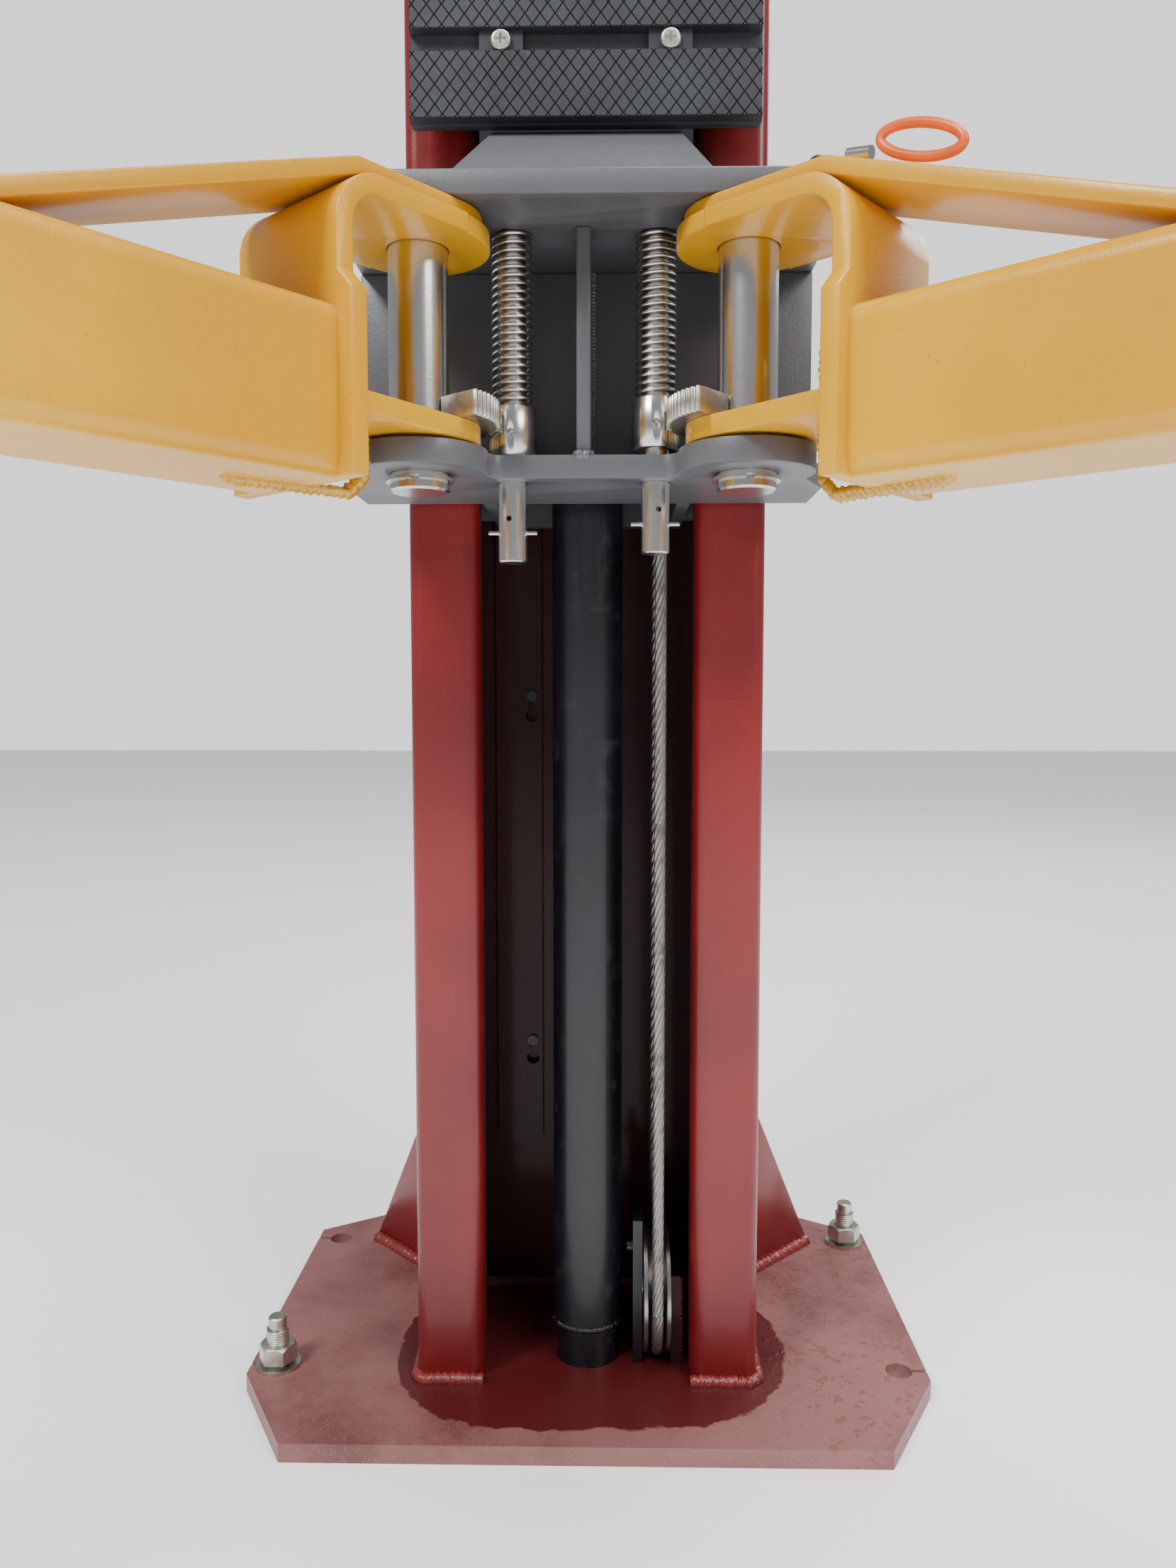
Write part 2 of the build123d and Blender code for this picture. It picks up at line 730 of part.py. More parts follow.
def inner_arm():
    """The sliding arm: a tube with the screw pad's boss welded to its end."""
    tube = square_tube(inner_size, tube_wall, tube_corner - 4, inner_tail, inner_tail + inner_length, tube_mid_z)
    boss = rod(boss_dia, boss_x, 0, tube_mid_z - boss_height / 2, tube_mid_z + boss_height / 2)
    tube += boss + block(boss_x - boss_dia / 2 - 4, boss_x, -boss_dia / 2, boss_dia / 2,
                         tube_mid_z - boss_height / 2 + 2, tube_mid_z + boss_height / 2 - 2)
    tube -= rod(pad_screw_dia + 2 * touch, boss_x, 0, tube_bottom_z - 1, tube_top_z + 1)
    return on_arms(tube)


def pad_screw():
    top = tube_mid_z + boss_height / 2 + 14
    return on_arms(rod(pad_screw_dia, boss_x, 0, top - pad_screw_length, top))


def pad_plate():
    z = tube_mid_z + boss_height / 2 + 14
    plate = rod(pad_dia, boss_x, 0, z, z + pad_plate_thick)
    return on_arms(chamfer(plate.edges().filter_by(GeomType.CIRCLE), 1.5))


def pad_rubber():
    z = tube_mid_z + boss_height / 2 + 14 + pad_plate_thick
    pad = rod(pad_dia - 6, boss_x, 0, z, z + pad_rubber_thick)
    pad = fillet(pad.faces().sort_by(Axis.Z)[-1].edges(), 5)
    return on_arms(pad)


def tooth_ring(root, tip, first, last, pitch):
    """Points of a toothed arc, one tooth to each pitch, in degrees."""
    points = []
    for count in range(round((last - first) / pitch)):
        start = first + count * pitch
        for share, radius in ((0.08, root), (0.32, tip), (0.68, tip), (0.92, root)):
            angle = radians(start + share * pitch)
            points.append((radius * cos(angle), radius * sin(angle)))
    return points


def gear_segment():
    """The half ring of teeth on the lower ear, on the side away from the arm."""
    teeth = tooth_ring(gear_radius - gear_tooth, gear_radius, 90, 270, gear_pitch)
    plan = make_face(Polyline(*teeth, close=True)) - Circle(pin_dia / 2 + 1)
    plan &= Pos(-50, 0) * Rectangle(100, 120)
    return on_arms(Pos(0, 0, gear_z) * extrude(plan, gear_thick))


# Arm locks, drawn for the right side at its lowest place


def lock_shaft():
    z0 = plate_bottom_z - lock_below
    shaft = rod(lock_dia, lock_x, lock_y, z0, head_top_z + lock_above)
    shaft = chamfer(shaft.edges().filter_by(GeomType.CIRCLE), 1)
    z = cotter_z()
    shaft -= rod_x(cotter_dia + 0.1, lock_x - lock_dia, lock_x + lock_dia, lock_y, z)
    return shaft - rod_y(cotter_dia + 0.6, lock_x + 2, lock_y - lock_dia, lock_y + lock_dia, z + 9)


def lock_block():
    """The toothed block on the lock shaft: round behind, hollowed and toothed towards the gear segment."""
    z0 = plate_top_z + touch
    piece = rod(lock_block_dia, lock_x, lock_y, z0, z0 + lock_block_height)
    bearing = degrees(atan2(lock_y - pin_y, lock_x - pin_x))
    reach = gear_radius + gear_clearance
    teeth = tooth_ring(reach, reach + gear_tooth, bearing - 6 * gear_pitch, bearing + 6 * gear_pitch, gear_pitch)
    wedge = make_face(Polyline((0, 0), *teeth, close=True))
    piece -= Pos(pin_x, pin_y, z0 - 1) * extrude(wedge, lock_block_height + 2)
    piece -= rod_y(5, lock_x, lock_y - 20, lock_y - lock_dia / 2, z0 + 16)
    return piece - rod(lock_dia + 0.1, lock_x, lock_y, z0 - 1, z0 + lock_block_height + 1)


def cotter_z():
    return plate_bottom_z - lock_lift - cotter_dia / 2 - touch


def lock_cotter():
    """The split pin under the lower plate: it stops the shaft when the teeth are clear."""
    z = cotter_z()
    return rod_x(cotter_dia, lock_x - cotter_half, lock_x + cotter_half, lock_y, z)


def lock_spring(z0):
    """An open coil between the lock block and the head plate."""
    height = head_under_z - z0 - 2 * touch - spring_wire
    radius = (spring_dia - spring_wire) / 2
    coil = Helix(pitch=height / spring_turns, height=height, radius=radius)
    start = Plane(origin=coil @ 0, z_dir=coil % 0)
    turn = sweep(start * Circle(spring_wire / 2), path=coil, is_frenet=True)
    return Pos(lock_x, lock_y, z0 + touch + spring_wire / 2) * turn


# Cylinder rod and chain


def cylinder_rod():
    z0 = floor_z + cylinder_height - rod_inside
    z1 = floor_z + cylinder_height + gland_height + rod_out
    piston = rod(cylinder_dia - 2 * barrel_wall - 2 * touch, 0, cylinder_y, z0 - piston_height, z0)
    return piston + rod(rod_dia, 0, cylinder_y, z0, z1)


def roller_centre_z():
    return floor_z + cylinder_height + gland_height + rod_out + roller_dia / 2 + 16


def roller_fork():
    """The fork on the rod's end, with the chain roller's axle."""
    z0 = floor_z + cylinder_height + gland_height + rod_out
    gap = roller_width / 2 + 1.5
    fork = block(-gap - 10, gap + 10, cylinder_y - 24, cylinder_y + 24, z0, z0 + 10)
    for side in (-1, 1):
        x0, x1 = sorted((side * gap, side * (gap + 10)))
        fork += block(x0, x1, cylinder_y - 24, cylinder_y + 24, z0, roller_centre_z() + 24)
    fork -= rod_x(roller_axle_dia, -60, 60, cylinder_y, roller_centre_z())
    axle = rod_x(roller_axle_dia, -gap - 14, gap + 14, cylinder_y, roller_centre_z())
    return joined([fork, axle])


def chain_roller():
    """The grooved roller that the lifting chain runs over."""
    half, radius, bore = roller_width / 2, roller_dia / 2, roller_axle_dia / 2 + 0.05
    seat = radius - 8
    section = Polyline(
        (bore, -half), (radius, -half), (seat, -half + 2.4), (seat, half - 2.4), (radius, half), (bore, half),
        close=True,
    )
    wheel = revolve(make_face(section), Axis.Y)
    return Pos(0, cylinder_y, roller_centre_z()) * Rot(0, 0, 90) * wheel


def chain_reach():
    """From the roller's axis to the middle of the chain."""
    return roller_dia / 2 - 8 + touch + chain_thick / 2


def chain_rear():
    """The chain's fixed run, from a lug on the base up to the roller, and its turn over the roller."""
    y = cylinder_y + chain_reach()
    half = chain_width / 2
    run = block(-half, half, y - chain_thick / 2, y + chain_thick / 2, floor_z + 24, roller_centre_z())
    ring = Cylinder(chain_reach() + chain_thick / 2, chain_width) - Cylinder(chain_reach() - chain_thick / 2, chain_width)
    turn = Pos(0, cylinder_y, roller_centre_z()) * Rot(0, 90, 0) * ring
    turn &= block(-half, half, 0, column_depth, roller_centre_z(), roller_centre_z() + roller_dia)
    lug = block(-half - 8, half + 8, y - 10, y + 10, floor_z, floor_z + 24)
    return joined([run + turn, lug])


def chain_front():
    """The chain's moving run, from the roller down to the tie plate at the carriage's foot."""
    y = cylinder_y - chain_reach()
    half = chain_width / 2
    z0 = chain_lug_z()
    run = block(-half, half, y - chain_thick / 2, y + chain_thick / 2, z0, roller_centre_z())
    return run


def chain_lug_z():
    return plate_bottom_z + chain_lug_rise


def chain_lug():
    """The bracket across the carriage's cheeks that the chain's moving end is pinned to."""
    z = chain_lug_z()
    half = frame_half - frame_wall
    back = cylinder_y - gland_dia / 2 - 1
    return block(-half, half, -back_plate_gap, back, z - 26, z)


# The release cord, from the right lock's top to its orange loop


def cord_points():
    """The route's points: out of the shaft's top, over the head plate and down onto the arm's brace."""
    top = head_top_z + lock_above + lock_raise_right
    over = head_top_z + cord_dia / 2 + touch
    return [
        (lock_x, lock_y, top),
        (lock_x, lock_y, top + 2.5),
        (lock_x + 8, lock_y + 6, over + 0.8),
        (lock_x + 36, lock_y + 1, over),
        (lock_x + 68, lock_y + 2, over),
        (lock_x + 97, lock_y - 20, over),
        (lock_x + 93, lock_y - 76, over + 1.2),
        (lock_x + 102, lock_y - 100, brace_top_z + ferrule_dia / 2 + touch + 2),
        (lock_x + 110, lock_y - 107, brace_top_z + ferrule_dia / 2 + touch),
    ]


def cord_radii(points):
    """For each corner, the largest arc that its two runs allow."""
    radii = []
    for before, here, after in zip(points, points[1:], points[2:]):
        one, two = Vector(*here) - Vector(*before), Vector(*after) - Vector(*here)
        turn = radians(one.get_angle(two))
        radii.append(0.4 * min(one.length, two.length) / tan(turn / 2))
    return radii


def pull_cord():
    points = cord_points()
    radii = cord_radii(points)
    print("cord radii", [round(r) for r in radii])
    path = FilletPolyline(*points, radius=radii)
    start = Plane(origin=path @ 0, z_dir=path % 0)
    return sweep(start * Circle(cord_dia / 2), path=path)


def cord_end():
    points = cord_points()
    last, before = Vector(*points[-1]), Vector(*points[-2])
    return last, (last - before).normalized()


def pull_ferrule():
    place, along = cord_end()
    start = Plane(origin=place, z_dir=along)
    return extrude(start * Circle(ferrule_dia / 2), ferrule_length)


def pull_loop():
    """A stiff sleeved loop, standing on edge along the brace's slope, as an oval ring."""
    place, along = cord_end()
    start = place + along * (ferrule_length + touch)
    flat = Vector(along.X, along.Y, 0).normalized()
    slope = brace_slope()
    down = flat * cos(slope) - Vector(0, 0, 1) * sin(slope)
    up = flat * sin(slope) + Vector(0, 0, 1) * cos(slope)
    middle = start + down * (loop_length / 2) + up * (loop_height / 2 - ferrule_dia / 2 + touch)
    plane = Plane(origin=middle, x_dir=down, z_dir=down.cross(up))
    ring = Ellipse(loop_length / 2 - loop_dia / 2, loop_height / 2 - loop_dia / 2)
    path = (plane * ring).edges()[0]
    section = Plane(origin=path @ 0, z_dir=path % 0) * Circle(loop_dia / 2)
    return sweep(section, path=path)


def raised(shape):
    """The right lock as it stands: its block rides a little up the gear segment's teeth."""
    return Pos(0, 0, lock_raise_right) * shape


def main():
    spring_seat = plate_top_z + touch + lock_block_height
    nodes = {
        "base_plate": base_plate(),
        "column": column(),
        "base_gussets": base_gussets(),
        "column_top_plate": column_top_plate(),
        "anchor_bolts": anchor_bolts(),
        "cylinder_barrel": cylinder_barrel(),
        "sheave_bracket": sheave_bracket(),
        "sheave_axle": sheave_axle(),
        "rope_sheave": sheave(),
        "rope_rear": rope_rear(),
        "hose_guard": hose_guard(),
        "hose_guard_studs": hose_guard_studs(),
        "carriage_back_plate": back_plate(),
        "carriage_head_plate": head_plate(),
        "carriage_foot_plate": foot_plate(),
        "carriage_rib": centre_rib(),
        "carriage_head_gusset": head_gusset(),
        "carriage_frame": carriage_frame(),
        "slider_blocks": slider_blocks(),
        "door_rubber": door_rubber(),
        "door_rubber_screws": rubber_screws(),
        "rope_anchor": rope_anchor(),
        "rope_front": rope_front(),
        "arm_pins": arm_pins(),
        "pin_circlips": pin_circlips(),
        "cylinder_rod": cylinder_rod(),
        "roller_fork": roller_fork(),
        "chain_roller": chain_roller(),
        "chain_rear": chain_rear(),
        "chain_front": chain_front(),
        "chain_lug": chain_lug(),
        "pull_cord": pull_cord(),
        "pull_ferrule": pull_ferrule(),
        "pull_loop": pull_loop(),
    }
    for name, shape in {
        "yoke": yoke(), "lower_ear": lower_ear(), "brace": brace(), "arm_tube": arm_tube(),
        "gear_segment": gear_segment(), "inner_arm": inner_arm(), "pad_screw": pad_screw(),
        "pad_plate": pad_plate(), "pad_rubber": pad_rubber(),
    }.items():
        nodes["right_" + name], nodes["left_" + name] = shape
    for name, shape in {"lock_shaft": lock_shaft(), "lock_block": lock_block(), "lock_cotter": lock_cotter()}.items():
        nodes["right_" + name] = raised(shape)
        nodes["left_" + name] = mirrored(shape)
    nodes["right_lock_spring"] = lock_spring(spring_seat + lock_raise_right)
    nodes["left_lock_spring"] = mirrored(lock_spring(spring_seat))
    os.makedirs("parts", exist_ok=True)
    for name, shape in nodes.items():
        export_step(shape, f"parts/{name}.step")
    print(len(nodes), "nodes")


main()
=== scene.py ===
"""The looks of the lift post: paint, steel, rubber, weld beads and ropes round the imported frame."""

import json
import math
import random

import bmesh
import bpy
from mathutils import Matrix, Vector


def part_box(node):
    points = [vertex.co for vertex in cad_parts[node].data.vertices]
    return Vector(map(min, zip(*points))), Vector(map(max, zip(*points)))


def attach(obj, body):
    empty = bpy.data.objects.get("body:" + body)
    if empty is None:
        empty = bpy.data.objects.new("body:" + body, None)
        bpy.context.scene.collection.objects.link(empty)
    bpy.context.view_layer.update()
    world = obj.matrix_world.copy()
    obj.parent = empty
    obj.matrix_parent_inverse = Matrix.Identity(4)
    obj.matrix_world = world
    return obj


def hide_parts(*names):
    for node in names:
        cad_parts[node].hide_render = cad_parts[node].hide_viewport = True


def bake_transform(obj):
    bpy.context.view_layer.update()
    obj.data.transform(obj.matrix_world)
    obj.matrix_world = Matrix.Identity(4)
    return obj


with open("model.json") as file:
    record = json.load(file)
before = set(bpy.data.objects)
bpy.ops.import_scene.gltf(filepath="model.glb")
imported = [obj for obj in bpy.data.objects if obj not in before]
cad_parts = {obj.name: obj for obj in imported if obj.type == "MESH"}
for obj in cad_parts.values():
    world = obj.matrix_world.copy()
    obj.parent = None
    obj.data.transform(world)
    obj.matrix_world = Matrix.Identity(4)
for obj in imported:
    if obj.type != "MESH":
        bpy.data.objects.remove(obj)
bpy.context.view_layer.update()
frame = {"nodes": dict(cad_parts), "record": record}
MM = 0.001
post_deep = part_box("column")[1][1]


# Shader maths


class Value:
    """A socket that takes part in sums, each of which adds its Math node."""

    def __init__(self, finish, socket):
        self.finish, self.socket = finish, socket

    def sum(self, operation, one, two):
        node = self.finish.node("ShaderNodeMath", {"operation": operation}, {0: one, 1: two})
        return Value(self.finish, node.outputs[0])

    def __add__(self, other):
        return self.sum("ADD", self, other)

    def __radd__(self, other):
        return self.sum("ADD", other, self)

    def __sub__(self, other):
        return self.sum("SUBTRACT", self, other)

    def __rsub__(self, other):
        return self.sum("SUBTRACT", other, self)

    def __mul__(self, other):
        return self.sum("MULTIPLY", self, other)

    def __rmul__(self, other):
        return self.sum("MULTIPLY", other, self)

    def over(self, edge, soft):
        """0 below the edge, rising to 1 over the soft width."""
        settings = {"interpolation_type": "SMOOTHSTEP"}
        values = {0: self, 1: edge, 2: edge + soft}
        return Value(self.finish, self.finish.node("ShaderNodeMapRange", settings, values).outputs[0])


class Finish:
    """One material, and the one way to add a node to it."""

    def __init__(self, name, metallic=0.0, coat=0.0):
        self.material = bpy.data.materials.new(name)
        self.material.use_nodes = True
        self.tree = self.material.node_tree
        self.shader = self.tree.nodes["Principled BSDF"]
        self.shader.inputs["Metallic"].default_value = metallic
        self.shader.inputs["Coat Weight"].default_value = coat
        self.shader.inputs["Coat Roughness"].default_value = 0.12
        self.place = self.node("ShaderNodeTexCoord", {}, {}).outputs["Object"]

    def node(self, kind, settings, values):
        made = self.tree.nodes.new(kind)
        for key, setting in settings.items():
            setattr(made, key, setting)
        for key, value in values.items():
            self.feed(made.inputs[key], value)
        return made

    def feed(self, socket, value):
        if isinstance(value, Value):
            value = value.socket
        if isinstance(value, bpy.types.NodeSocket):
            self.tree.links.new(value, socket)
        else:
            socket.default_value = value

    def noise(self, scale, detail=2.0, stretch=(1, 1, 1), rough=0.5):
        spot = self.node("ShaderNodeMapping", {}, {"Vector": self.place, "Scale": stretch}).outputs[0]
        values = {"Vector": spot, "Scale": scale, "Detail": detail, "Roughness": rough}
        return Value(self, self.node("ShaderNodeTexNoise", {}, values).outputs[0])

    def axis(self, letter):
        return Value(self, self.node("ShaderNodeSeparateXYZ", {}, {0: self.place}).outputs[letter])

    def blend(self, share, one, two):
        made = self.node("ShaderNodeMix", {"data_type": "RGBA"}, {})
        self.feed(made.inputs[0], share)
        self.feed(made.inputs[6], one)
        self.feed(made.inputs[7], two)
        return made.outputs[2]

    def surface(self, colour, roughness, height=None, depth=0.0, strength=0.5):
        self.feed(self.shader.inputs["Base Color"], colour)
        self.feed(self.shader.inputs["Roughness"], roughness)
        if height is not None:
            values = {"Height": height, "Distance": depth, "Strength": strength}
            bump = self.node("ShaderNodeBump", {}, values)
            self.feed(self.shader.inputs["Normal"], bump.outputs[0])
        return self.material


def rgb(red, green, blue):
    return (red, green, blue, 1.0)


def sprayed_paint(name, light, dark, roughness, peel=0.25, coat=0.25, grime=0.35, painted_shade_hollow=None):
    """Enamel over plate: orange peel, slow changes of tint, thin spots and a little shop dirt; optionally painted
    shade darkening the inside of a hollow post.
    """
    paint = Finish(name, coat=coat)
    broad = paint.noise(5.0, 4.0)
    specks = paint.noise(260.0, 3.0, rough=0.7).over(0.66, 0.05)
    dirt = paint.noise(16.0, 6.0, rough=0.7).over(0.56, 0.2) * grime
    colour = paint.blend(broad.over(0.35, 0.3), dark, light)
    colour = paint.blend(dirt, colour, tuple(c * 0.55 for c in dark[:3]) + (1.0,))
    colour = paint.blend(specks * 0.35, colour, tuple(c * 0.4 for c in dark[:3]) + (1.0,))
    if painted_shade_hollow:
        # painted shade: the inside of the folded post is darkened to stand for the shade in the channel
        x, y = paint.axis("X"), paint.axis("Y")
        half_width, back = painted_shade_hollow
        painted_shade_inside = (1 - (x * x).over(half_width ** 2, 0.0006)) * y.over(0.016, 0.006) * (1 - y.over(back, 0.001))
        colour = paint.blend(painted_shade_inside * 0.82, colour, rgb(0.020, 0.003, 0.004))
        rough_inside = painted_shade_inside * 0.35
    else:
        rough_inside = 0.0
    skin = paint.noise(480.0, 1.0) + paint.noise(60.0, 2.0) * 0.6 - specks * 0.3
    gloss = roughness + dirt * 0.3 + paint.noise(90.0, 2.0) * 0.08 + rough_inside
    return paint.surface(colour, gloss, skin, 0.0006, peel)


def red_paint():
    light, dark = rgb(0.235, 0.011, 0.012), rgb(0.150, 0.007, 0.009)
    # the inside of the post gets painted shade
    return sprayed_paint("column red paint", light, dark, 0.30, peel=0.12, coat=0.20, grime=0.20,
                         painted_shade_hollow=(0.136, post_deep - 0.003))


def base_paint():
    """Red paint on the base plate: dusted pale by wear, with an oily dark patch before the post."""
    paint = Finish("worn base paint", coat=0.15)
    x, y = paint.axis("X"), paint.axis("Y")
    dust = paint.noise(7.0, 6.0, rough=0.65).over(0.26, 0.35)
    grain = paint.noise(420.0, 3.0, rough=0.7)
    edge = paint.noise(22.0, 5.0, rough=0.65)
    # a puddle a little wider than the post, reaching some way in front of it
    across, ahead = (x - 0.003) * 6.0, (y - 0.050) * 8.7
    reach = across * across * across * across + ahead * ahead
    wet = 1 - (reach + edge * 0.5).over(1.20, 0.05)
    crumbs = paint.noise(150.0, 4.0, rough=0.8).over(0.66, 0.04)
    beads = paint.noise(95.0, 2.0, rough=0.6).over(0.60, 0.03) * x.over(0.12, 0.08)
    pale, deep = rgb(0.300, 0.130, 0.122), rgb(0.150, 0.045, 0.043)
    colour = paint.blend(dust * 0.9, deep, pale)
    colour = paint.blend(grain.over(0.5, 0.2) * 0.3, colour, rgb(0.38, 0.22, 0.20))
    colour = paint.blend(crumbs * 0.55, colour, rgb(0.10, 0.03, 0.03))
    colour = paint.blend(beads * 0.6, colour, rgb(0.24, 0.06, 0.055))
    colour = paint.blend(wet * 0.94, colour, rgb(0.095, 0.007, 0.009))
    gloss = 0.46 + dust * 0.16 - wet * 0.26 - beads * 0.25
    return paint.surface(colour, gloss, grain + crumbs * 0.5 + beads * 1.5 - wet * 0.4, 0.0009, 0.35)


def grey_paint():
    light, dark = rgb(0.110, 0.114, 0.126), rgb(0.080, 0.083, 0.093)
    return sprayed_paint("carriage grey paint", light, dark, 0.40, peel=0.22, coat=0.12, grime=0.4)


def yellow_paint():
    light, dark = rgb(0.740, 0.385, 0.003), rgb(0.640, 0.305, 0.002)
    return sprayed_paint("arm yellow paint", light, dark, 0.30, peel=0.16, coat=0.20, grime=0.14)


def weld_paint(name, colour, dark):
    paint = Finish(name, coat=0.5)
    lumps = paint.noise(190.0, 4.0, rough=0.6)
    burnt = paint.noise(60.0, 3.0).over(0.5, 0.25)
    return paint.surface(paint.blend(burnt * 0.6, colour, dark), 0.12 + lumps * 0.12, lumps, 0.002, 0.7)


def turned_steel(name, tint, roughness, rings=900.0):
    """Ground or turned bar: fine marks round it, a film of oil and a few dark spots."""
    steel = Finish(name, metallic=1.0)
    marks = steel.noise(1.0, 3.0, stretch=(30, 30, rings), rough=0.6)
    film = steel.noise(22.0, 3.0, rough=0.5).over(0.42, 0.35)
    spots = steel.noise(170.0, 3.0, rough=0.7).over(0.72, 0.04)
    colour = steel.blend(film * 0.25, tint, tuple(c * 0.72 for c in tint[:3]) + (1.0,))
    colour = steel.blend(spots * 0.35, colour, rgb(0.16, 0.12, 0.09))
    return steel.surface(colour, roughness + marks * 0.08 + spots * 0.15, marks, 0.0002, 0.2)


def zinc():
    metal = Finish("zinc plate", metallic=1.0)
    bloom = metal.noise(70.0, 5.0, rough=0.7)
    colour = metal.blend(bloom.over(0.4, 0.3), rgb(0.50, 0.48, 0.42), rgb(0.68, 0.66, 0.60))
    return metal.surface(colour, 0.30 + bloom * 0.18, metal.noise(500.0), 0.0003, 0.3)


def wire():
    metal = Finish("rope wire", metallic=0.85)
    grease = metal.noise(60.0, 5.0, rough=0.7).over(0.45, 0.25)
    colour = metal.blend(grease * 0.9, rgb(0.30, 0.285, 0.27), rgb(0.14, 0.13, 0.12))
    return metal.surface(colour, 0.36 + grease * 0.25, metal.noise(900.0), 0.0004, 0.5)


def black_paint():
    paint = Finish("cylinder black paint", coat=0.2)
    haze = paint.noise(6.0, 5.0, rough=0.6)
    dust = paint.noise(40.0, 5.0, rough=0.7).over(0.52, 0.2)
    colour = paint.blend(haze.over(0.4, 0.3), rgb(0.004, 0.005, 0.009), rgb(0.010, 0.013, 0.022))
    colour = paint.blend(dust * 0.25, colour, rgb(0.07, 0.075, 0.085))
    return paint.surface(colour, 0.36 + dust * 0.25, paint.noise(400.0), 0.0004, 0.2)


def rubber():
    skin = Finish("black rubber")
    bloom = skin.noise(9.0, 5.0, rough=0.6)
    dust = skin.noise(230.0, 4.0, rough=0.7).over(0.55, 0.15)
    colour = skin.blend(bloom.over(0.35, 0.35), rgb(0.016, 0.018, 0.022), rgb(0.034, 0.038, 0.046))
    colour = skin.blend(dust * 0.2, colour, rgb(0.10, 0.105, 0.115))
    return skin.surface(colour, 0.48 + bloom * 0.15, skin.noise(700.0), 0.0003, 0.35)


def plastic(name, tint, roughness):
    skin = Finish(name, coat=0.1)
    cloud = skin.noise(50.0, 3.0)
    colour = skin.blend(cloud.over(0.3, 0.4), tuple(c * 0.8 for c in tint[:3]) + (1.0,), tint)
    return skin.surface(colour, roughness + cloud * 0.1, skin.noise(350.0), 0.0003, 0.25)


finishes = {
    "red_paint": red_paint(),
    "faded_red": base_paint(),
    "grey_paint": grey_paint(),
    "yellow_paint": yellow_paint(),
    "steel": turned_steel("ground steel", rgb(0.66, 0.65, 0.63), 0.20),
    "zinc": zinc(),
    "rope": wire(),
    "black_paint": black_paint(),
    "rubber": rubber(),
    "plastic": plastic("slider plastic", rgb(0.55, 0.55, 0.50), 0.45),
    "orange": plastic("orange sleeve", rgb(0.90, 0.13, 0.015), 0.32),
}
red_weld = weld_paint("red weld", rgb(0.260, 0.028, 0.026), rgb(0.130, 0.030, 0.028))
grey_weld = weld_paint("grey weld", rgb(0.110, 0.120, 0.142), rgb(0.060, 0.066, 0.080))
worn_steel = turned_steel("worn steel", rgb(0.34, 0.33, 0.32), 0.26)
yellow_weld = weld_paint("yellow weld", rgb(0.620, 0.330, 0.020), rgb(0.450, 0.220, 0.020))
slots = {entry["node"]: entry["material_slot"] for entry in frame["record"]["subparts"]}
body_of_node = {n: b for b, ns in frame["record"]["behaviour"]["bodies"].items() for n in ns}

for name, node in frame["nodes"].items():
    node.data.materials.clear()
    node.data.materials.append(finishes[slots[name]])


# Making and placing pieces


def piece(name, bm, material, body, smooth=40):
    """A finished mesh that rides on a body."""
    bmesh.ops.recalc_face_normals(bm, faces=bm.faces)
    mesh = bpy.data.meshes.new(name)
    bm.to_mesh(mesh)
    bm.free()
    mesh.materials.append(material)
    obj = bpy.data.objects.new(name, mesh)
    bpy.context.scene.collection.objects.link(obj)
    mesh.shade_smooth()
    mesh.set_sharp_from_angle(angle=math.radians(smooth))
    if body:
        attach(obj, body)
    return obj


def eased(name, width=1.2 * MM, segments=2, material=None):
    """A CAD plate with its edges eased as a sprayed or dressed edge is, standing for the plain one."""
    node = frame["nodes"][name]
    bm = bmesh.new()
    bm.from_mesh(node.data)
    bmesh.ops.remove_doubles(bm, verts=bm.verts, dist=1e-5)
    bmesh.ops.dissolve_limit(bm, angle_limit=math.radians(1), verts=bm.verts, edges=bm.edges)
    sharp = [e for e in bm.edges if len(e.link_faces) == 2 and e.calc_face_angle(0) > math.radians(35)]
    bmesh.ops.bevel(
        bm, geom=sharp, offset=width, offset_type="OFFSET", segments=segments, profile=0.5,
        affect="EDGES", clamp_overlap=True, material=-1,
    )
    obj = piece(name + "_eased", bm, material or finishes[slots[name]], body_of_node[name], smooth=50)
    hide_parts(name)
    return obj


def weld(name, corners, size, material, body, seed=1, closed=False):
    """A bead laid along straight runs: overlapping ripples, a little uneven."""
    rng = random.Random(seed)
    corners = [Vector(c) for c in corners]
    spots = []
    for a, b in zip(corners, corners[1:] + corners[:1] if closed else corners[1:]):
        steps = max(2, int((b - a).length / (size * 0.30)))
        spots += [a.lerp(b, i / steps) for i in range(steps)]
    spots.append(corners[0] if closed else corners[-1])
    bm = bmesh.new()
    sides = 8
    ring = bmesh.ops.create_circle(bm, segments=sides, radius=size)["verts"]
    edges = list(bm.edges)
    along = (spots[1] - spots[0]).normalized()
    turn = along.to_track_quat("Z", "Y").to_matrix().to_4x4()
    bmesh.ops.transform(bm, verts=ring, matrix=Matrix.Translation(spots[0]) @ turn)
    bm.faces.new(ring)
    for count, (here, there) in enumerate(zip(spots, spots[1:])):
        made = bmesh.ops.extrude_edge_only(bm, edges=edges)["geom"]
        verts = [g for g in made if isinstance(g, bmesh.types.BMVert)]
        edges = [g for g in made if isinstance(g, bmesh.types.BMEdge)]
        ahead = (there - here).normalized()
        bmesh.ops.translate(bm, verts=verts, vec=there - here)
        ripple = 1.0 + 0.16 * math.sin(count * 1.9) + rng.uniform(-0.08, 0.08)
        middle = sum((v.co for v in verts), Vector()) / sides
        wish = there + Vector((rng.uniform(-1, 1), rng.uniform(-1, 1), rng.uniform(-1, 1))) * size * 0.10
        for v in verts:
            out = v.co - middle
            out -= ahead * out.dot(ahead)
            v.co = wish + out.normalized() * size * ripple
    bmesh.ops.holes_fill(bm, edges=edges, sides=sides)
    return piece(name, bm, material, body, smooth=180)


# The post


